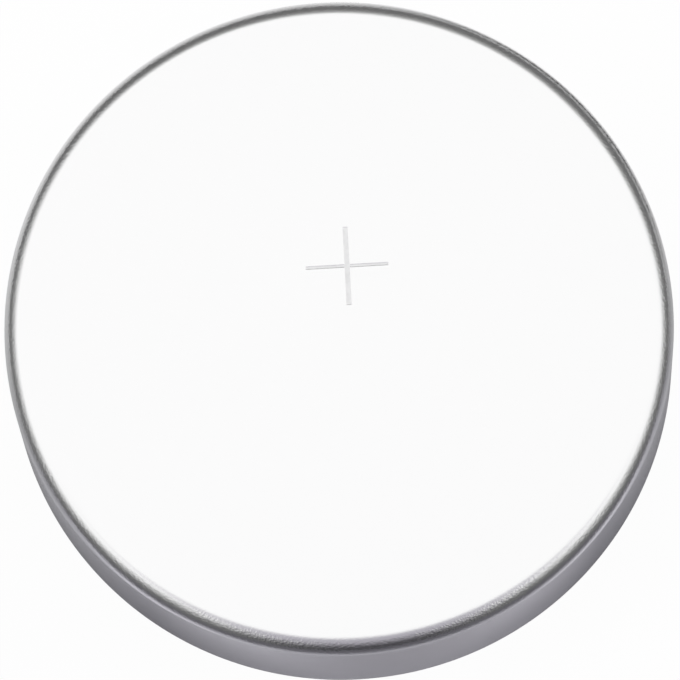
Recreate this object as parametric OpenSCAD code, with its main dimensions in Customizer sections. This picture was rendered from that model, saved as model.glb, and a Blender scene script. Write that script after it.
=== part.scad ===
// Rechargeable lithium coin cell in millimetres, standing on the face of its negative cap.
// +Z is the axis of the cell, and the positive face of the can is on top.

/* [Can] */
// Outer diameter of the can
can_d = 16; // [12:0.1:30]
// Height of the whole cell
cell_h = 4.8; // [3.6:0.1:10]
// Steel thickness of the can
can_wall = 0.25; // [0.15:0.01:0.3]
// Outer radius of the edge round the positive face
can_edge_r = 0.4; // [0.35:0.05:0.8]

/* [Rolled seal] */
// Outer radius of the rolled shoulder at the open end of the can
roll_r = 1.2; // [1.05:0.05:1.5]
// Flat length of the lip past the rolled shoulder
lip_flat = 0.15; // [0.05:0.05:0.3]
// Rounding of the lip's cut edge
lip_edge_r = 0.08; // [0.02:0.01:0.12]
// Thickness of the gasket between can and cap
gasket_wall = 0.35; // [0.2:0.01:0.45]
// Thickness of the gasket leg inside the cap's skirt
hook_wall = 0.3; // [0.2:0.05:0.5]
// Length of the gasket leg below the edge of the skirt
hook_depth = 0.8; // [0.3:0.1:1.5]
// Rounding of the gasket's end that shows beside the lip
gasket_end_r = 0.12; // [0.02:0.01:0.18]

/* [Negative cap] */
// Steel thickness of the cap
cap_wall = 0.25; // [0.15:0.01:0.28]
// Outer radius of the edge round the negative face
cap_edge_r = 0.35; // [0.3:0.05:0.5]
// Height of the negative face below the lip
cap_proud = 0.15; // [0.05:0.05:0.4]
// Width of the flat shoulder outside the negative face
shoulder_w = 0.65; // [0.5:0.05:1.5]
// Radius in the corner between the face's step and the shoulder
cap_step_r = 0.15; // [0.05:0.05:0.2]

/* [Electrode stack] */
// Number of cathodes, with one anode more
cathode_count = 6; // [1:1:8]
// How much thicker a coated cathode is than a coated anode
cathode_extra = 0.02; // [0:0.01:0.05]
// Thickness of a separator film
separator_t = 0.025; // [0.015:0.005:0.1]
// Thickness of the bare foil of an ear
foil_t = 0.02; // [0.01:0.005:0.04]
// Width of an ear
ear_w = 1.8; // [1:0.1:2]
// How far an anode reaches past a cathode all round
anode_margin = 0.2; // [0.05:0.05:0.5]
// How far a separator reaches past an anode all round
separator_margin = 0.15; // [0.05:0.05:0.5]

/* [Strips, films and spring] */
// Thickness of the strips that join the ears
strip_t = 0.1; // [0.05:0.01:0.15]
// Width of a strip
strip_w = 2.2; // [2:0.1:3]
// Length of a strip's foot
strip_foot = 3; // [1:0.1:4]
// Inner radius of a strip's bend
strip_bend_r = 0.05; // [0.02:0.01:0.06]
// Thickness of the film under the positive face
insulator_t = 0.06; // [0.05:0.01:0.2]
// Thickness of the film round the stack
wrap_t = 0.06; // [0.03:0.01:0.1]
// Free height of the contact spring
spring_h = 0.5; // [0.3:0.05:0.7]
// Sheet thickness of the contact spring
spring_t = 0.15; // [0.1:0.01:0.2]
// Width of the contact spring's ring
spring_w = 2.35; // [2:0.05:2.5]
// Width of the flat rims of the contact spring
spring_rim = 0.25; // [0.1:0.05:0.4]
// Number of slots in the contact spring
spring_slots = 6; // [3:1:10]
// Width of a slot
slot_w = 0.6; // [0.2:0.1:1]
// Length of a slot
slot_l = 1.3; // [0.5:0.1:1.5]
// Thickness of the spacer
spacer_t = 0.52; // [0.4:0.01:0.8]

/* [Clearances] */
// Between the film round the stack and the gasket
wrap_gap = 0.14; // [0.05:0.01:0.3]
// Between the strips and the film round the stack
strip_gap = 0.03; // [0.02:0.01:0.1]
// Between the separators and the strips
separator_gap = 0.1; // [0.05:0.01:0.3]
// Between the spacer and the step of the cap
spacer_gap = 0.2; // [0.1:0.05:0.5]
// Between the contact spring and the step of the cap
spring_gap = 0.35; // [0.15:0.05:0.6]

/* [Hidden] */
$fn = 96;
// Length by which a cutting shape runs past what it cuts
over = 1;

can_r = can_d / 2;
// Underside of the can's floor
floor_z = cell_h - can_wall;
// Centre of the rounded edge of the can
edge_c = [can_r - can_edge_r, cell_h - can_edge_r];
// Centre that the rolled shoulder of can, gasket and cap have in common
roll_c = [can_r - roll_r, cap_proud + roll_r];
lip_r = roll_c[0] - lip_flat;

// Outer surfaces of the cap
face_r = roll_c[0] - shoulder_w;
skirt_r = can_r - can_wall - gasket_wall;
skirt_top = floor_z - gasket_wall;
shoulder_z = cap_proud + can_wall + gasket_wall;
step_c = [face_r + cap_step_r, shoulder_z - cap_step_r];
// Inside of the cap's step and top of its shoulder
well_r = face_r - cap_wall;
shoulder_top = shoulder_z + cap_wall;

hook_r = skirt_r - cap_wall - hook_wall;

// From the gasket inwards: film, strips, separators, anodes, cathodes
wrap_r = min(hook_r - wrap_gap, roll_c[0]);
strip_r = wrap_r - wrap_t - strip_gap;
strip_out = sqrt(pow(strip_r, 2) - pow(strip_w / 2, 2));
strip_in = strip_out - strip_t;
separator_r = strip_in - separator_gap;
anode_r = separator_r - separator_margin;
cathode_r = anode_r - anode_margin;

// From the cap upwards: spring, spacer, foot of the negative strip, stack, film, foot of the positive strip
spring_top = cap_wall + spring_h;
spacer_top = spring_top + spacer_t;
stack_z = spacer_top + strip_t;
stack_top = floor_z - strip_t - insulator_t;
anode_count = cathode_count + 1;
separator_count = 2 * cathode_count;
// The coatings share the height that the separators leave
coated_h = stack_top - stack_z - separator_count * separator_t;
anode_t = (coated_h - cathode_count * cathode_extra) / (anode_count + cathode_count);
cathode_t = anode_t + cathode_extra;
pair_t = cathode_t + anode_t + 2 * separator_t;

// Height of the underside of each layer, counted from the bottom
function anode_z(i) = stack_z + (i - 1) * pair_t;
function cathode_z(i) = anode_z(i) + anode_t + separator_t;
function separator_z(i) = i % 2 == 1
    ? anode_z((i + 1) / 2) + anode_t
    : cathode_z(i / 2) + cathode_t;

// Half section of what the can encloses, drawn in by an inset
module can_section(inset) {
    translate([0, roll_c[1]]) square([can_r - inset, edge_c[1] - roll_c[1]]);
    translate([0, roll_c[1]]) square([edge_c[0], cell_h - inset - roll_c[1]]);
    translate([0, cap_proud + inset]) square([roll_c[0], edge_c[1] - cap_proud - inset]);
    translate(edge_c) circle(can_edge_r - inset);
    translate(roll_c) circle(roll_r - inset);
}

// Half section of what the cap encloses up to a height, drawn in by an inset
module cap_section(inset, top) {
    face_c = [face_r - cap_edge_r, cap_edge_r];
    translate([0, inset]) square([face_c[0], top - inset]);
    translate([0, face_c[1]]) square([face_r - inset, top - face_c[1]]);
    translate(face_c) circle(cap_edge_r - inset);
    translate([0, shoulder_z + inset]) square([roll_c[0], top - shoulder_z - inset]);
    translate([0, roll_c[1]]) square([skirt_r - inset, top - roll_c[1]]);
    translate(roll_c) circle(skirt_r - roll_c[0] - inset);
    difference() {
        translate([well_r, step_c[1]]) square([step_c[0] - well_r, shoulder_z + inset - step_c[1]]);
        translate(step_c) circle(cap_step_r + inset);
    }
}

// Waste outside a rounded corner at a point, where the piece lies towards +X and upwards
module corner_waste(p, r) {
    translate(p) difference() {
        translate([-over, -over]) square(over + r);
        translate([r, r]) circle(r);
    }
}

module positive_can() {
    color("#dcdcde") rotate_extrude() difference() {
        can_section(0);
        can_section(can_wall);
        translate([0, -over]) square([lip_r, over + cap_proud + can_wall]);
        corner_waste([lip_r, cap_proud], lip_edge_r);
    }
}

module sealing_gasket() {
    hook_end = skirt_top - hook_depth;
    // Underside of the gasket where it lies on the lip
    gasket_z = cap_proud + can_wall;
    end_r = step_c[0];
    leg_w = skirt_r - cap_wall - hook_r;
    color("#e6e3da") rotate_extrude() difference() {
        can_section(can_wall);
        // What the cap encloses, but for the leg inside its skirt
        difference() {
            cap_section(0, skirt_top);
            translate([hook_r, hook_end]) square([leg_w, hook_depth + over]);
        }
        translate([0, -over]) square([end_r, hook_end + over]);
        translate([0, hook_end - over]) square([hook_r, cell_h]);
        corner_waste([end_r, gasket_z], gasket_end_r);
    }
}

module negative_cap() {
    color("#cfcfd2") rotate_extrude() difference() {
        cap_section(0, skirt_top);
        cap_section(cap_wall, skirt_top + over);
    }
}

module contact_spring() {
    rim_r = well_r - spring_gap;
    hole_r = rim_r - spring_w;
    low = cap_wall;
    section = [
        [hole_r, spring_top - spring_t],
        [hole_r + spring_rim, spring_top - spring_t],
        [rim_r - spring_rim, low],
        [rim_r, low],
        [rim_r, low + spring_t],
        [rim_r - spring_rim, low + spring_t],
        [hole_r + spring_rim, spring_top],
        [hole_r, spring_top],
    ];
    color("#b9bcc0") difference() {
        rotate_extrude() polygon(section);
        for (i = [0:spring_slots - 1]) rotate(i * 360 / spring_slots) linear_extrude(spring_top + over) {
            translate([0, -slot_w / 2]) square([hole_r + slot_l, slot_w]);
            translate([hole_r + slot_l, 0]) circle(d = slot_w);
        }
    }
}

module spacer_disc() {
    color("#c3c5c8") translate([0, 0, spring_top]) cylinder(r = well_r - spacer_gap, h = spacer_top - spring_top);
}

// What a strip encloses, with its foot along X at height 0 and its leg upwards
module strip_section(inset, leg) {
    bend = strip_bend_r + strip_t;
    translate([0, inset]) square([strip_out - bend, leg - inset]);
    translate([0, bend]) square([strip_out - inset, leg - bend]);
    translate([strip_out - bend, bend]) circle(bend - inset);
}

module strip(leg) {
    rotate([90, 0, 0]) linear_extrude(strip_w, center = true) difference() {
        strip_section(0, leg);
        strip_section(strip_t, leg + over);
        translate([0, -over]) square([strip_out - strip_foot, leg + over]);
    }
}

module negative_strip() {
    color("#bfbaad") translate([0, 0, spacer_top]) mirror([1, 0, 0]) strip(stack_top - spacer_top);
}

module positive_strip() {
    color("#c9ccd0") translate([0, 0, floor_z]) mirror([0, 0, 1]) strip(floor_z - cathode_z(1));
}

module top_insulator() {
    color("#d9a441") translate([0, 0, stack_top]) cylinder(r = separator_r, h = insulator_t);
}

module stack_wrap() {
    color("#d9a441") translate([0, 0, shoulder_top]) difference() {
        cylinder(r = wrap_r, h = stack_top - shoulder_top);
        translate([0, 0, -over]) cylinder(r = wrap_r - wrap_t, h = cell_h + 2 * over);
    }
}

// Coated disc on the cell's axis with a bare foil ear at mid thickness towards +X
module electrode(r, t) {
    cylinder(r = r, h = t);
    translate([0, -ear_w / 2, (t - foil_t) / 2]) cube([strip_in, ear_w, foil_t]);
}

module anode_disc(i) {
    color("#3b3b3d") translate([0, 0, anode_z(i)]) mirror([1, 0, 0]) electrode(anode_r, anode_t);
}

module cathode_disc(i) {
    color("#2a2a2c") translate([0, 0, cathode_z(i)]) electrode(cathode_r, cathode_t);
}

module separator_disc(i) {
    color("#f2f2ee") translate([0, 0, separator_z(i)]) cylinder(r = separator_r, h = separator_t);
}

positive_can();
sealing_gasket();
negative_cap();
contact_spring();
spacer_disc();
negative_strip();
positive_strip();
top_insulator();
stack_wrap();
for (i = [1:anode_count]) anode_disc(i);
for (i = [1:cathode_count]) cathode_disc(i);
for (i = [1:separator_count]) separator_disc(i);
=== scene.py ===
import bmesh
import bpy
import math
from mathutils import Matrix, Vector


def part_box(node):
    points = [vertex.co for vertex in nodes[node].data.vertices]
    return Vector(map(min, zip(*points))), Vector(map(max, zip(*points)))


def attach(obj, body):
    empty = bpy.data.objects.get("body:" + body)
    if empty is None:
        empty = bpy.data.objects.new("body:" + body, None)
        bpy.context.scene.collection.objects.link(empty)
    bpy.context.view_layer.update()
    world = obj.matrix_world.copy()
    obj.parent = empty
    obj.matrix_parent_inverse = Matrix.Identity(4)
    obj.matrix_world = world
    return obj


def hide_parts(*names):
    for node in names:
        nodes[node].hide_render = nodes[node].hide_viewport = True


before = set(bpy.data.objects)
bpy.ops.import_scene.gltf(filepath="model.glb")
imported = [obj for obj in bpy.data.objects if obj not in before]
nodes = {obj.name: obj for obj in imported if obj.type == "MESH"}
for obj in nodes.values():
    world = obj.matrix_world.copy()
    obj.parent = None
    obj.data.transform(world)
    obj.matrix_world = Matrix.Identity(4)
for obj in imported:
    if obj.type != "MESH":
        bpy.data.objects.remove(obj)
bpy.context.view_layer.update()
mm = 0.001
print("frame loaded:", len(nodes), "nodes")

# the cell's own places, from the frame
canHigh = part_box("positive_can")[1]
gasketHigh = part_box("sealing_gasket")[1]
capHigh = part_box("negative_cap")[1]
canRadius = canHigh.x
faceHeight = canHigh.z
ringSteps = 256  # vertices round each turned piece


# camera, at the photograph's angle

view = {
    "elevation": 77.45,  # degrees above the floor
    "distance": 200 * mm,
    "pixelsPerMm": 41.44,  # at the middle of the cell
    "roll": -6.0,  # degrees about the line of sight
    "middlePixel": (340.77, 344.79),  # where the middle of the cell shows
    "frameSide": 680,
    "sensor": 36.0,
}


def addCamera():
    camData = bpy.data.cameras.new("camera")
    cam = bpy.data.objects.new("camera", camData)
    bpy.context.scene.collection.objects.link(cam)
    side = view["frameSide"]
    camData.sensor_width = view["sensor"]
    camData.lens = view["pixelsPerMm"] / mm * view["distance"] * view["sensor"] / side
    camData.shift_x = (side / 2 - view["middlePixel"][0]) / side
    camData.shift_y = (view["middlePixel"][1] - side / 2) / side
    camData.clip_start = view["distance"] / 10
    camData.clip_end = view["distance"] * 20
    rise = math.radians(view["elevation"])
    middle = Vector((0, 0, faceHeight / 2))
    place = middle + view["distance"] * Vector((0, -math.cos(rise), math.sin(rise)))
    turn = Matrix.Rotation(math.pi / 2 - rise, 4, "X") @ Matrix.Rotation(math.radians(view["roll"]), 4, "Z")
    cam.location = place
    cam.rotation_euler = turn.to_euler()
    bpy.context.scene.camera = cam


# modelling helpers

def deselectAll():
    if bpy.context.object and bpy.context.object.mode == "EDIT":
        bpy.ops.object.mode_set(mode="OBJECT")
    bpy.ops.object.select_all(action="DESELECT")


def makeActive(piece):
    deselectAll()
    piece.select_set(True)
    bpy.context.view_layer.objects.active = piece


def startRing(name, radius, height):
    deselectAll()
    bpy.ops.mesh.primitive_circle_add(vertices=ringSteps, radius=radius, location=(0, 0, height))
    piece = bpy.context.active_object
    piece.name = name
    piece.data.name = name
    bpy.ops.object.transform_apply(location=True, rotation=True, scale=True)
    return piece


def pickLoop(piece, radius, height):
    # selects the edges of one ring of the piece
    near = 0.002 * mm
    mesh = bmesh.from_edit_mesh(piece.data)
    for edge in mesh.edges:
        edge.select_set(False)
    for edge in mesh.edges:
        onRing = all(abs(v.co.xy.length - radius) < near and abs(v.co.z - height) < near for v in edge.verts)
        if onRing:
            edge.select_set(True)
    bmesh.update_edit_mesh(piece.data)


def drawOut(piece, path):
    # extrudes the open ring from one (radius, height) to the next
    bpy.ops.object.mode_set(mode="EDIT")
    bpy.ops.mesh.select_mode(type="EDGE")
    radius, height = path[0]
    pickLoop(piece, radius, height)
    for nextRadius, nextHeight in path[1:]:
        bpy.ops.mesh.extrude_region_move(TRANSFORM_OT_translate={"value": (0, 0, nextHeight - height)})
        grow = nextRadius / radius
        bpy.ops.transform.resize(value=(grow, grow, 1), center_override=(0, 0, nextHeight))
        radius, height = nextRadius, nextHeight
    bpy.ops.object.mode_set(mode="OBJECT")


def fillRing(piece, radius, height):
    # closes one open ring with a flat face
    bpy.ops.object.mode_set(mode="EDIT")
    bpy.ops.mesh.select_mode(type="EDGE")
    pickLoop(piece, radius, height)
    bpy.ops.mesh.edge_face_add()
    bpy.ops.object.mode_set(mode="OBJECT")


def roundRing(piece, radius, height, width, steps):
    bpy.ops.object.mode_set(mode="EDIT")
    bpy.ops.mesh.select_mode(type="EDGE")
    pickLoop(piece, radius, height)
    bpy.ops.mesh.bevel(offset=width, segments=steps, affect="EDGES", clamp_overlap=False)
    bpy.ops.object.mode_set(mode="OBJECT")


def closeUp(piece):
    # merges doubles and turns all faces outwards
    bpy.ops.object.mode_set(mode="EDIT")
    bpy.ops.mesh.select_all(action="SELECT")
    bpy.ops.mesh.remove_doubles(threshold=0.0005 * mm)
    bpy.ops.mesh.normals_make_consistent(inside=False)
    bpy.ops.object.mode_set(mode="OBJECT")


def faceOutwards(piece, height, up):
    # turns the piece's faces about if its flat face at a height looks the wrong way
    middle = min(piece.data.polygons, key=lambda p: (p.center - Vector((0, 0, height))).length)
    if (middle.normal.z > 0) != up:
        bpy.ops.object.mode_set(mode="EDIT")
        bpy.ops.mesh.select_all(action="SELECT")
        bpy.ops.mesh.flip_normals()
        bpy.ops.object.mode_set(mode="OBJECT")


def giveWall(piece, wall):
    thicken = piece.modifiers.new("wall", "SOLIDIFY")
    thicken.thickness = wall
    thicken.offset = -1
    thicken.use_even_offset = True
    bpy.ops.object.modifier_apply(modifier="wall")


def insetFlat(piece, height, ways):
    # rings of extra edges inside the flat face at a height, so that the rounding does not tilt its shading
    bpy.ops.object.mode_set(mode="EDIT")
    bpy.ops.mesh.select_mode(type="FACE")
    mesh = bmesh.from_edit_mesh(piece.data)
    for face in mesh.faces:
        flat = all(abs(v.co.z - height) < 0.001 * mm for v in face.verts)
        face.select_set(flat and len(face.verts) > 4)
    bmesh.update_edit_mesh(piece.data)
    for way in ways:
        bpy.ops.mesh.inset(thickness=way)
    bpy.ops.object.mode_set(mode="OBJECT")


def smooth(piece, degrees=13):
    makeActive(piece)
    bpy.ops.object.shade_smooth_by_angle(angle=math.radians(degrees))


# materials

def newMaterial(name):
    mat = bpy.data.materials.new(name)
    mat.use_nodes = True
    tree = mat.node_tree
    bsdf = tree.nodes["Principled BSDF"]
    coords = tree.nodes.new("ShaderNodeTexCoord")
    return mat, tree, bsdf, coords


def addNoise(tree, coords, grain, detail=3.0, rough=0.55):
    # noise with features of about the grain's length, in metres
    noise = tree.nodes.new("ShaderNodeTexNoise")
    noise.inputs["Scale"].default_value = 1 / grain
    noise.inputs["Detail"].default_value = detail
    noise.inputs["Roughness"].default_value = rough
    tree.links.new(coords.outputs["Object"], noise.inputs["Vector"])
    return noise


def spread(tree, source, low, high, fromLow=0.3, fromHigh=0.7):
    ranged = tree.nodes.new("ShaderNodeMapRange")
    ranged.interpolation_type = "SMOOTHSTEP"
    ranged.inputs["From Min"].default_value = fromLow
    ranged.inputs["From Max"].default_value = fromHigh
    ranged.inputs["To Min"].default_value = low
    ranged.inputs["To Max"].default_value = high
    tree.links.new(source, ranged.inputs["Value"])
    return ranged.outputs["Result"]


def tintBetween(tree, source, low, high):
    ramp = tree.nodes.new("ShaderNodeValToRGB")
    ramp.color_ramp.elements[0].position = 0.3
    ramp.color_ramp.elements[0].color = (*low, 1)
    ramp.color_ramp.elements[1].position = 0.7
    ramp.color_ramp.elements[1].color = (*high, 1)
    tree.links.new(source, ramp.inputs["Fac"])
    return ramp.outputs["Color"]


def toneRamp(tree, source, places):
    ramp = tree.nodes.new("ShaderNodeValToRGB")
    stops = ramp.color_ramp.elements
    for place, tone in places[1:-1]:
        stops.new(place)
    for stop, (place, tone) in zip(stops, places):
        stop.position = place
        stop.color = (*tone, 1)
    tree.links.new(source, ramp.inputs["Fac"])
    return ramp.outputs["Color"]


def along(tree, vector, direction):
    # how far a vector reaches in a direction
    reach = tree.nodes.new("ShaderNodeVectorMath")
    reach.operation = "DOT_PRODUCT"
    reach.inputs[1].default_value = direction
    tree.links.new(vector, reach.inputs[0])
    return reach.outputs["Value"]


def times(tree, first, second):
    product = tree.nodes.new("ShaderNodeMath")
    product.operation = "MULTIPLY"
    tree.links.new(first, product.inputs[0])
    tree.links.new(second, product.inputs[1])
    return product.outputs[0]


def scaled(tree, vector, factor):
    result = tree.nodes.new("ShaderNodeVectorMath")
    result.operation = "SCALE"
    tree.links.new(vector, result.inputs[0])
    tree.links.new(factor, result.inputs["Scale"])
    return result.outputs["Vector"]


def addBump(tree, bsdf, source, height):
    bump = tree.nodes.new("ShaderNodeBump")
    bump.inputs["Strength"].default_value = 1.0
    bump.inputs["Distance"].default_value = height
    tree.links.new(source, bump.inputs["Height"])
    tree.links.new(bump.outputs["Normal"], bsdf.inputs["Normal"])


def grainyMaterial(name, look):
    # one finish: colour and roughness clouds, and a fine grain in the surface
    mat, tree, bsdf, coords = newMaterial(name)
    bsdf.inputs["Metallic"].default_value = look["metallic"]
    clouds = addNoise(tree, coords, look["cloud"])
    tint = tintBetween(tree, clouds.outputs["Fac"], look["dark"], look["light"])
    tree.links.new(tint, bsdf.inputs["Base Color"])
    rough = spread(tree, clouds.outputs["Fac"], look["roughness"][0], look["roughness"][1])
    tree.links.new(rough, bsdf.inputs["Roughness"])
    grain = addNoise(tree, coords, look["grain"], detail=2.0)
    addBump(tree, bsdf, grain.outputs["Fac"], look["depth"])
    return mat


finishes = {
    "canSteel": {"metallic": 1.0, "dark": (0.925, 0.925, 0.925), "light": (0.945, 0.945, 0.945),
                 "cloud": 0.16 * mm, "roughness": (0.15, 0.19), "grain": 0.055 * mm, "depth": 0.0095 * mm},
    "etchedSteel": {"metallic": 1.0, "dark": (0.91, 0.91, 0.91), "light": (0.96, 0.96, 0.96),
                    "cloud": 0.07 * mm, "roughness": (0.3, 0.42), "grain": 0.03 * mm, "depth": 0.002 * mm},
    "capSteel": {"metallic": 1.0, "dark": (0.86, 0.86, 0.865), "light": (0.91, 0.91, 0.915),
                 "cloud": 0.9 * mm, "roughness": (0.20, 0.27), "grain": 0.05 * mm, "depth": 0.0012 * mm},
    "gasketPlastic": {"metallic": 0.0, "dark": (0.70, 0.69, 0.64), "light": (0.78, 0.77, 0.73),
                      "cloud": 0.6 * mm, "roughness": (0.38, 0.5), "grain": 0.08 * mm, "depth": 0.003 * mm},
    "springSteel": {"metallic": 1.0, "dark": (0.52, 0.53, 0.55), "light": (0.62, 0.63, 0.65),
                    "cloud": 0.7 * mm, "roughness": (0.18, 0.3), "grain": 0.05 * mm, "depth": 0.002 * mm},
    "spacerSteel": {"metallic": 1.0, "dark": (0.60, 0.61, 0.62), "light": (0.70, 0.71, 0.72),
                    "cloud": 0.9 * mm, "roughness": (0.25, 0.35), "grain": 0.05 * mm, "depth": 0.002 * mm},
    "nickelStrip": {"metallic": 1.0, "dark": (0.62, 0.60, 0.55), "light": (0.72, 0.70, 0.65),
                    "cloud": 0.5 * mm, "roughness": (0.22, 0.34), "grain": 0.04 * mm, "depth": 0.001 * mm},
    "aluminiumStrip": {"metallic": 1.0, "dark": (0.80, 0.81, 0.82), "light": (0.88, 0.89, 0.90),
                       "cloud": 0.5 * mm, "roughness": (0.25, 0.38), "grain": 0.04 * mm, "depth": 0.001 * mm},
    "amberFilm": {"metallic": 0.0, "dark": (0.55, 0.28, 0.04), "light": (0.66, 0.36, 0.06),
                  "cloud": 1.5 * mm, "roughness": (0.12, 0.2), "grain": 0.2 * mm, "depth": 0.001 * mm},
    "graphiteCoating": {"metallic": 0.0, "dark": (0.025, 0.025, 0.028), "light": (0.055, 0.055, 0.06),
                        "cloud": 0.15 * mm, "roughness": (0.6, 0.8), "grain": 0.03 * mm, "depth": 0.004 * mm},
    "cathodeCoating": {"metallic": 0.0, "dark": (0.012, 0.012, 0.013), "light": (0.03, 0.03, 0.032),
                       "cloud": 0.15 * mm, "roughness": (0.65, 0.85), "grain": 0.03 * mm,
                       "depth": 0.004 * mm},
    "separatorFilm": {"metallic": 0.0, "dark": (0.82, 0.82, 0.80), "light": (0.88, 0.88, 0.87),
                      "cloud": 0.8 * mm, "roughness": (0.5, 0.65), "grain": 0.03 * mm, "depth": 0.001 * mm},
}
mats = {name: grainyMaterial(name, look) for name, look in finishes.items()}
print("materials ready:", len(mats))


# positive can: a drawn cup, its open end rolled in below

can = {
    "wall": 0.25 * mm,
    "edge": 0.4 * mm,  # rounding of the edge round the face
    "edgeSteps": 20,
    "roll": 1.2 * mm,  # rounding of the rolled shoulder
    "rollSteps": 28,
    "lipFlat": 0.15 * mm,
    "lipEdge": 0.08 * mm,
    "proud": 0.15 * mm,  # the cap's face below the lip
    "faceInsets": (0.03 * mm, 0.08 * mm, 0.3 * mm),
    "faceGrain": 0.2,  # share of the grain on the flat face
    "grainFrom": 0.04 * mm,  # depth below the face from which the grain is full
    "grainTo": 0.003 * mm,  # depth down to which the face's share holds
    "wallGrain": 0.25,  # share of the grain on the wall and the rolled shoulder
    "wallFrom": 0.6 * mm,  # depth below the face from which the wall's share holds
    "wallTo": 0.35 * mm,  # depth down to which the grain stays full
}


def grainOnBends(mat):
    # drawing leaves the bent edge grainier than the flat face and the wall
    tree = mat.node_tree
    bump = next(node for node in tree.nodes if node.type == "BUMP")
    coords = next(node for node in tree.nodes if node.type == "TEX_COORD")
    split = tree.nodes.new("ShaderNodeSeparateXYZ")
    tree.links.new(coords.outputs["Object"], split.inputs[0])
    low, high = faceHeight - can["grainFrom"], faceHeight - can["grainTo"]
    onFace = spread(tree, split.outputs["Z"], 1, can["faceGrain"], low, high)
    low, high = faceHeight - can["wallFrom"], faceHeight - can["wallTo"]
    onWall = spread(tree, split.outputs["Z"], can["wallGrain"], 1, low, high)
    tree.links.new(times(tree, onFace, onWall), bump.inputs["Strength"])


def makeCan():
    lip = canRadius - can["roll"] - can["lipFlat"]
    piece = startRing("canShell", canRadius, faceHeight)
    drawOut(piece, [(canRadius, faceHeight), (canRadius, can["proud"]), (lip, can["proud"])])
    fillRing(piece, canRadius, faceHeight)
    closeUp(piece)
    roundRing(piece, canRadius, faceHeight, can["edge"], can["edgeSteps"])
    roundRing(piece, canRadius, can["proud"], can["roll"], can["rollSteps"])
    insetFlat(piece, faceHeight, can["faceInsets"])
    faceOutwards(piece, faceHeight, up=True)
    giveWall(piece, can["wall"])
    roundRing(piece, lip, can["proud"], can["lipEdge"], can["edgeSteps"])
    return piece


# plus sign, pressed shallowly into the positive face

plusSign = {
    "middle": (0.348 * mm, 1.371 * mm),
    "turn": -2.8,  # degrees about the cell's axis
    "across": (2.03 * mm, 0.11 * mm),  # length and width of the stroke along X
    "along": (0.18 * mm, 1.95 * mm),  # width and length of the stroke along Y
    "depth": 0.003 * mm,
    "slope": 0.03 * mm,  # width of the sloped sides of each stroke
    "corner": 0.03 * mm,
    "cornerSteps": 4,
}


def strokeCutter(size):
    deselectAll()
    tall = 2 * plusSign["depth"]
    low = faceHeight - plusSign["depth"]
    bpy.ops.mesh.primitive_cube_add(size=1, location=(0, 0, low + tall / 2), scale=(size[0], size[1], tall))
    cutter = bpy.context.active_object
    bpy.ops.object.transform_apply(location=True, rotation=True, scale=True)
    bpy.ops.object.mode_set(mode="EDIT")
    bpy.ops.mesh.select_mode(type="EDGE")
    mesh = bmesh.from_edit_mesh(cutter.data)
    for edge in mesh.edges:
        a, b = edge.verts
        edge.select_set(abs(a.co.z - b.co.z) > tall / 2)
    bmesh.update_edit_mesh(cutter.data)
    bpy.ops.mesh.bevel(offset=plusSign["corner"], segments=plusSign["cornerSteps"], affect="EDGES")
    bpy.ops.mesh.select_mode(type="VERT")
    mesh = bmesh.from_edit_mesh(cutter.data)
    for vert in mesh.verts:
        vert.select_set(vert.co.z < faceHeight)
    bmesh.update_edit_mesh(cutter.data)
    narrow = [(side - 2 * plusSign["slope"]) / side for side in size]
    bpy.ops.transform.resize(value=(*narrow, 1), center_override=(0, 0, low))
    bpy.ops.object.mode_set(mode="OBJECT")
    cutter.rotation_euler.z = math.radians(plusSign["turn"])
    cutter.location = (*plusSign["middle"], 0)
    bpy.ops.object.transform_apply(location=True, rotation=True, scale=True)
    return cutter


def pressPlusSign(piece):
    for size in (plusSign["across"], plusSign["along"]):
        cutter = strokeCutter(size)
        makeActive(piece)
        cut = piece.modifiers.new("stroke", "BOOLEAN")
        cut.operation = "DIFFERENCE"
        cut.solver = "EXACT"
        cut.object = cutter
        bpy.ops.object.modifier_apply(modifier="stroke")
        bpy.data.objects.remove(cutter)
    floorHeight = faceHeight - plusSign["depth"]
    for poly in piece.data.polygons:
        corners = [piece.data.vertices[i].co.z for i in poly.vertices]
        inSign = all(abs(z - floorHeight) < 0.001 * mm for z in corners)
        poly.material_index = 1 if inSign else 0


grainOnBends(mats["canSteel"])
canShell = makeCan()
canShell.data.materials.append(mats["canSteel"])
canShell.data.materials.append(mats["etchedSteel"])
pressPlusSign(canShell)
smooth(canShell, degrees=5)  # the sign's slopes keep their edges
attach(canShell, "root")
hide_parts("positive_can")
print("can made")


# negative cap: face, step, shoulder and skirt

cap = {
    "wall": 0.25 * mm,
    "faceEdge": 0.35 * mm,  # rounding of the edge round the face
    "edgeSteps": 12,
    "shoulder": 0.65 * mm,  # width of the ledge between face and rolled bend
    "stepCorner": 0.15 * mm,
    "cornerSteps": 10,
    "rollSteps": 16,
}
gasket = {
    "wall": 0.35 * mm,
    "hook": 0.3 * mm,  # wall of the leg inside the skirt
    "hookDepth": 0.8 * mm,
    "end": 0.12 * mm,  # rounding of the end that shows beside the lip
    "endSteps": 10,
}
rollMiddle = canRadius - can["roll"]
capFace = rollMiddle - cap["shoulder"]
capSkirt = canRadius - can["wall"] - gasket["wall"]
shoulderHeight = can["proud"] + can["wall"] + gasket["wall"]
gasketBend = can["roll"] - can["wall"]  # the three rolled bends have one centre
capBend = gasketBend - gasket["wall"]


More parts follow.
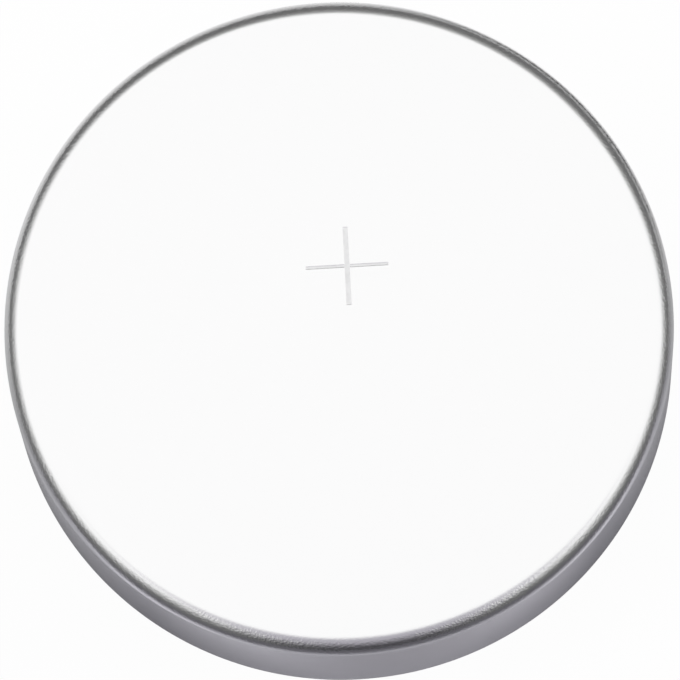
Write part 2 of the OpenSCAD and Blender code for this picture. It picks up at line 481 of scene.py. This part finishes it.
def makeCap():
    piece = startRing("capShell", capFace, 0)
    path = [(capFace, 0), (capFace, shoulderHeight), (capSkirt, shoulderHeight), (capSkirt, capHigh.z)]
    drawOut(piece, path)
    fillRing(piece, capFace, 0)
    closeUp(piece)
    roundRing(piece, capFace, 0, cap["faceEdge"], cap["edgeSteps"])
    roundRing(piece, capFace, shoulderHeight, cap["stepCorner"], cap["cornerSteps"])
    roundRing(piece, capSkirt, shoulderHeight, capBend, cap["rollSteps"])
    faceOutwards(piece, 0, up=False)
    giveWall(piece, cap["wall"])
    return piece


capShell = makeCap()
capShell.data.materials.append(mats["capSteel"])
smooth(capShell)
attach(capShell, "root")
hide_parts("negative_cap")
print("cap made")


# sealing gasket: one moulded ring between can and cap, hooked over the skirt

def makeGasket():
    inner = capFace + cap["stepCorner"]
    outer = canRadius - can["wall"]
    low = can["proud"] + can["wall"]
    skirtInner = capSkirt - cap["wall"]
    hook = skirtInner - gasket["hook"]
    path = [
        (inner, shoulderHeight), (inner, low), (outer, low), (outer, gasketHigh.z), (hook, gasketHigh.z),
        (hook, capHigh.z - gasket["hookDepth"]), (skirtInner, capHigh.z - gasket["hookDepth"]),
        (skirtInner, capHigh.z), (capSkirt, capHigh.z), (capSkirt, shoulderHeight), (inner, shoulderHeight),
    ]
    piece = startRing("gasketRing", inner, shoulderHeight)
    drawOut(piece, path)
    closeUp(piece)
    roundRing(piece, inner, low, gasket["end"], gasket["endSteps"])
    roundRing(piece, outer, low, gasketBend, cap["rollSteps"])
    roundRing(piece, outer, gasketHigh.z, can["edge"] - can["wall"], gasket["endSteps"])
    roundRing(piece, capSkirt, shoulderHeight, capBend, cap["rollSteps"])
    return piece


gasketRing = makeGasket()
gasketRing.data.materials.append(mats["gasketPlastic"])
smooth(gasketRing)
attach(gasketRing, "root")
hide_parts("sealing_gasket")
print("gasket made")


# inner pieces keep their solids and get their finish

innerFinish = {
    "contact_spring": "springSteel",
    "spacer_disc": "spacerSteel",
    "negative_strip": "nickelStrip",
    "positive_strip": "aluminiumStrip",
    "top_insulator": "amberFilm",
    "stack_wrap": "amberFilm",
    "anode_disc": "graphiteCoating",
    "cathode_disc": "cathodeCoating",
    "separator_disc": "separatorFilm",
}


def dressInnerPieces():
    for name, node in nodes.items():
        for start, finish in innerFinish.items():
            if name.startswith(start):
                node.data.materials.clear()
                node.data.materials.append(mats[finish])


dressInnerPieces()
print("inner pieces dressed")


# floor, world and lamp

studio = {
    "floorSide": 1.2,
    "paintedPoolFrom": 9 * mm,  # painted pool of light: the floor is painted palest within this distance of the middle
    "paintedPoolTo": 24 * mm,
    "paintedPoolEdge": 0.62,  # share of its tone that is left beyond that, outside the painted pool of light
    "paintedShadingReach": 20 * mm,
    "paintedShadingDirection": (-0.05, 0.999, 0),  # painted shading: the floor's tones run this way within the reach, with painted shadow in front of the cell, a painted bright band at its foot against the contact shadow, and painted light behind it
    "paintedShadingStops": ((0.12, (0.205, 0.20, 0.225)), (0.272, (0.54, 0.53, 0.575)), (0.294, (0.77, 0.76, 0.815)),
                  (0.35, (0.45, 0.445, 0.48)), (0.5, (0.47, 0.47, 0.48)), (0.75, (0.88, 0.88, 0.88))),
    "paintedShadowPlace": (14.8 * mm, 14.8 * mm, 0),  # a painted shadow: a dark patch on the floor, behind the cell on its right
    "paintedShadowTurn": 45,  # degrees
    "paintedShadowHalf": (7 * mm, 13 * mm, 1),  # half its width and length
    "paintedShadowTone": 0.03,
    "paintedShadowEdge": (0.6, 1.2),  # its edge fades between these shares of the half sizes
    "floorGlow": 0.975,  # share of plain white in what the camera sees of the floor
    "topTone": 1.055,  # strength of the whole sky
    # the sky's tones by height
    "skyStops": ((0.0, (0.14,) * 3), (0.35, (0.15,) * 3), (0.63, (0.45,) * 3), (0.90, (1.0,) * 3)),
    "farDirection": (0.259, 0.966, 0),  # the sky is darker this way
    "farFrom": 0.30,
    "farTo": 0.62,
    "farShare": 0.42,  # share of its tone that is left there
    "lowTone": 0.14,  # its lowest tone, before the strip below
    "shadeTone": (0.41, 0.395, 0.44),  # the strip of sky on the camera's side is darker
    "shadeHalf": (0.15, 0.5),  # full within the first reach from the strip's middle, none past the second
    "shadeStart": (0.26, -0.42),  # it sets in between these reaches along Y
    "lampPlace": (0, 0.13, 0.36),
    "lampSize": 0.2,
    "lampPower": 0.7,
}


def addFloor():
    deselectAll()
    bpy.ops.mesh.primitive_plane_add(size=studio["floorSide"], location=(0, 0, 0))
    floor = bpy.context.active_object
    floor.name = "floor"
    mat = bpy.data.materials.new("paleFloor")
    mat.use_nodes = True
    tree = mat.node_tree
    bsdf = tree.nodes["Principled BSDF"]
    coords = tree.nodes.new("ShaderNodeTexCoord")
    # painted pool of light: the floor's colour is palest round the cell and darker further out
    away = tree.nodes.new("ShaderNodeVectorMath")
    away.operation = "LENGTH"
    tree.links.new(coords.outputs["Object"], away.inputs[0])
    paintedPool = spread(tree, away.outputs["Value"], 1, studio["paintedPoolEdge"], studio["paintedPoolFrom"], studio["paintedPoolTo"])
    # painted shadow: a dark patch on the floor behind the cell on its right
    onPaintedShadow = tree.nodes.new("ShaderNodeMapping")
    onPaintedShadow.vector_type = "TEXTURE"
    onPaintedShadow.inputs["Location"].default_value = studio["paintedShadowPlace"]
    onPaintedShadow.inputs["Rotation"].default_value = (0, 0, math.radians(studio["paintedShadowTurn"]))
    onPaintedShadow.inputs["Scale"].default_value = studio["paintedShadowHalf"]
    tree.links.new(coords.outputs["Object"], onPaintedShadow.inputs["Vector"])
    fromPaintedShadow = tree.nodes.new("ShaderNodeVectorMath")
    fromPaintedShadow.operation = "LENGTH"
    tree.links.new(onPaintedShadow.outputs["Vector"], fromPaintedShadow.inputs[0])
    paintedShadow = spread(tree, fromPaintedShadow.outputs["Value"], studio["paintedShadowTone"], 1, *studio["paintedShadowEdge"])
    # painted shading: the floor's colour is darker in front of the cell, brighter at its foot and paler
    # behind it
    place = tree.nodes.new("ShaderNodeMapRange")
    place.inputs["From Min"].default_value = -studio["paintedShadingReach"]
    place.inputs["From Max"].default_value = studio["paintedShadingReach"]
    tree.links.new(along(tree, coords.outputs["Object"], studio["paintedShadingDirection"]), place.inputs["Value"])
    tone = toneRamp(tree, place.outputs["Result"], studio["paintedShadingStops"])
    # the floor's colour carries its painted shading, painted pool of light and painted shadow
    tree.links.new(scaled(tree, tone, times(tree, paintedPool, paintedShadow)), bsdf.inputs["Base Color"])
    bsdf.inputs["Roughness"].default_value = 0.9
    bsdf.inputs["Specular IOR Level"].default_value = 0.1
    glow = tree.nodes.new("ShaderNodeEmission")
    glow.inputs["Color"].default_value = (1, 1, 1, 1)
    path = tree.nodes.new("ShaderNodeLightPath")
    share = tree.nodes.new("ShaderNodeMath")
    share.operation = "MULTIPLY"
    share.inputs[1].default_value = studio["floorGlow"]
    tree.links.new(path.outputs["Is Camera Ray"], share.inputs[0])
    mix = tree.nodes.new("ShaderNodeMixShader")
    tree.links.new(share.outputs[0], mix.inputs[0])
    tree.links.new(bsdf.outputs[0], mix.inputs[1])
    tree.links.new(glow.outputs[0], mix.inputs[2])
    tree.links.new(mix.outputs[0], tree.nodes["Material Output"].inputs[0])
    floor.data.materials.append(mat)


def addWorld():
    world = bpy.data.worlds.new("studio")
    bpy.context.scene.world = world
    world.use_nodes = True
    tree = world.node_tree
    back = tree.nodes["Background"]
    coords = tree.nodes.new("ShaderNodeTexCoord")
    split = tree.nodes.new("ShaderNodeSeparateXYZ")
    tree.links.new(coords.outputs["Generated"], split.inputs[0])
    sky = toneRamp(tree, split.outputs["Z"], studio["skyStops"])
    far = along(tree, coords.outputs["Generated"], studio["farDirection"])
    farFactor = spread(tree, far, 1, studio["farShare"], studio["farFrom"], studio["farTo"])
    kept = tree.nodes.new("ShaderNodeVectorMath")
    kept.operation = "MAXIMUM"
    kept.inputs[1].default_value = (studio["lowTone"],) * 3
    tree.links.new(scaled(tree, sky, farFactor), kept.inputs[0])
    aside = tree.nodes.new("ShaderNodeMath")
    aside.operation = "ABSOLUTE"
    tree.links.new(split.outputs["X"], aside.inputs[0])
    within = spread(tree, aside.outputs[0], 1, 0, *studio["shadeHalf"])
    towards = spread(tree, split.outputs["Y"], 0, 1, *studio["shadeStart"])
    strip = spread(tree, times(tree, within, towards), 0, 1, 0, 1)
    shade = toneRamp(tree, strip, ((0, (1, 1, 1)), (1, studio["shadeTone"])))
    dimmed = tree.nodes.new("ShaderNodeVectorMath")
    dimmed.operation = "MULTIPLY"
    tree.links.new(kept.outputs["Vector"], dimmed.inputs[0])
    tree.links.new(shade, dimmed.inputs[1])
    white = tree.nodes.new("ShaderNodeMix")
    white.data_type = "RGBA"
    path = tree.nodes.new("ShaderNodeLightPath")
    tree.links.new(path.outputs["Is Camera Ray"], white.inputs["Factor"])
    tree.links.new(dimmed.outputs["Vector"], white.inputs["A"])
    white.inputs["B"].default_value = (1, 1, 1, 1)
    tree.links.new(white.outputs["Result"], back.inputs["Color"])
    back.inputs["Strength"].default_value = studio["topTone"]


def addLamp():
    lampData = bpy.data.lights.new("softLamp", "AREA")
    lampData.shape = "DISK"
    lampData.size = studio["lampSize"]
    lampData.energy = studio["lampPower"]
    lamp = bpy.data.objects.new("softLamp", lampData)
    bpy.context.scene.collection.objects.link(lamp)
    lamp.location = studio["lampPlace"]
    lamp.rotation_euler = (-math.atan2(studio["lampPlace"][1], studio["lampPlace"][2]), 0, 0)
    lamp.visible_glossy = False  # lights the floor and the plastics, while the steel mirrors the sky


addCamera()
addFloor()
addWorld()
addLamp()
bpy.context.scene.view_settings.view_transform = "Standard"
print("stage ready")
